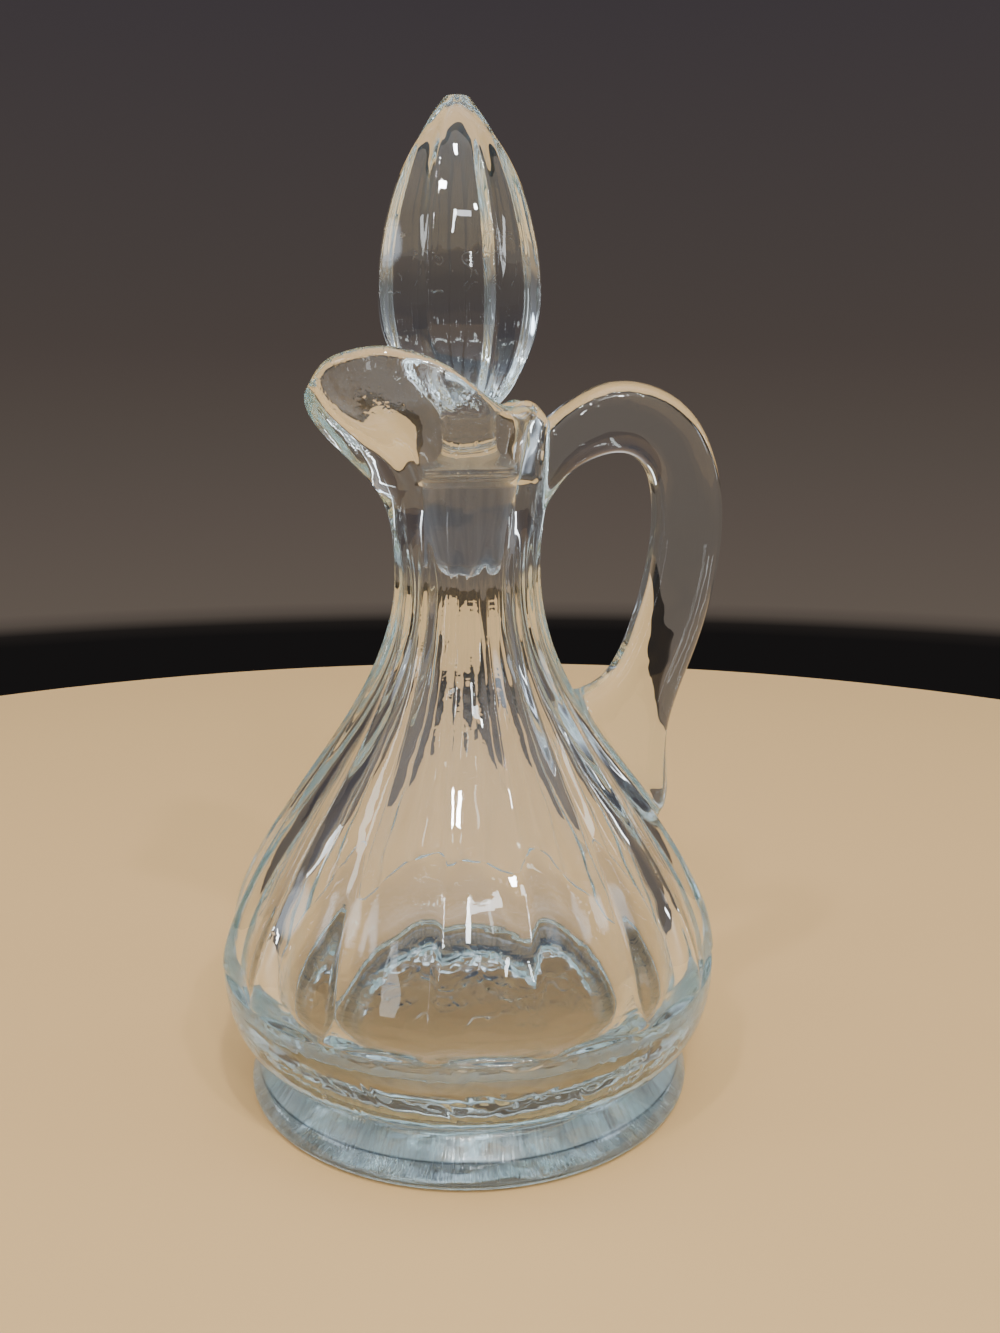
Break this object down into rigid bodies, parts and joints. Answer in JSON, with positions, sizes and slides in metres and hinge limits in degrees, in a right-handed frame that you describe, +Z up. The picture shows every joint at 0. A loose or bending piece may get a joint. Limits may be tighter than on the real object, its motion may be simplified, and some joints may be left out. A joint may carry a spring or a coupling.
{
  "type": "cruet bottle",
  "caption": "Footed, fluted pressed-glass cruet with a flared pouring spout, a loop handle and a lift-out faceted stopper with a ground plug.",
  "frame": {"origin": "centre of the foot on the surface that the bottle stands on", "axes": "+Z up along the bottle's axis, +X towards the handle, -X towards the spout; the bottle is alike on both sides of the XZ plane"},
  "size_m": [0.0886, 0.0886, 0.1684],
  "materials": {
    "bottle_glass": "fire-polished clear pressed glass with a faint green-blue tint in its thick edges",
    "stopper_glass": "clear pressed glass, polished above the shoulder and ground to a frosted grey on the plug"
  },
  "bodies": {
    "vessel": {"bottle": "bottle_glass", "handle": "bottle_glass"},
    "stopper": {"stopper": "stopper_glass"}
  },
  "joints": [
    {"name": "stopper_lift", "type": "slide", "parent": "vessel", "child": "stopper", "axis": [0, 0, 1], "range_m": [0, 0.045]}
  ]
}
